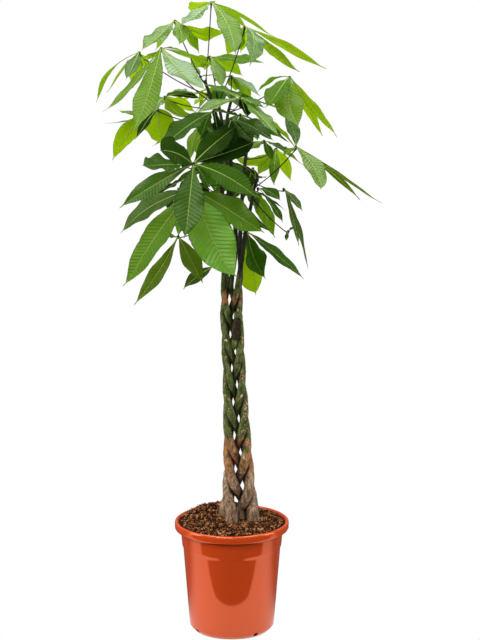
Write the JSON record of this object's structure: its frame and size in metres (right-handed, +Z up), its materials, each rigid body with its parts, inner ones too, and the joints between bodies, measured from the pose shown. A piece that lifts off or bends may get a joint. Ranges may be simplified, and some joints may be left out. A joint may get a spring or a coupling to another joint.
{
  "type": "potted money tree",
  "caption": "Potted money tree: plaited trunks rise from bark soil in a tapered plastic nursery pot and carry a tall, loose crown of hand-shaped compound leaves.",
  "frame": {"origin": "centre of the pot's flat underside", "axes": "+Z up along the trunks, -Y towards the viewer of the picture, +X to the viewer's right"},
  "size_m": [0.66, 0.7729, 1.4725],
  "materials": {
    "pot": "smooth glossy terracotta-orange moulded plastic",
    "soil": "dark bark chips and peat, moist and matt",
    "trunk": "grey-brown bark at the foot, green and smooth with brown scars higher up",
    "leaf": "satin green leaf with a pale midrib and side veins"
  },
  "bodies": {
    "root": {"pot": "pot", "soil": "soil", "trunk_1": "trunk", "trunk_2": "trunk", "trunk_3": "trunk", "trunk_4": "trunk", "trunk_5": "trunk", "leaf_01": "leaf", "leaf_02": "leaf", "leaf_03": "leaf", "leaf_04": "leaf", "leaf_05": "leaf", "leaf_06": "leaf", "leaf_07": "leaf", "leaf_08": "leaf", "leaf_09": "leaf", "leaf_10": "leaf", "leaf_11": "leaf", "leaf_12": "leaf", "leaf_13": "leaf", "leaf_14": "leaf", "leaf_15": "leaf", "leaf_16": "leaf", "leaf_17": "leaf", "leaf_18": "leaf", "leaf_19": "leaf", "leaf_20": "leaf", "leaf_21": "leaf", "leaf_22": "leaf", "leaf_23": "leaf", "leaf_24": "leaf", "leaf_25": "leaf", "leaf_26": "leaf", "leaf_27": "leaf", "leaf_28": "leaf", "leaf_29": "leaf", "leaf_30": "leaf", "leaf_31": "leaf", "leaf_32": "leaf", "leaf_33": "leaf", "leaf_34": "leaf", "leaf_35": "leaf", "leaf_36": "leaf"}
  },
  "joints": []
}
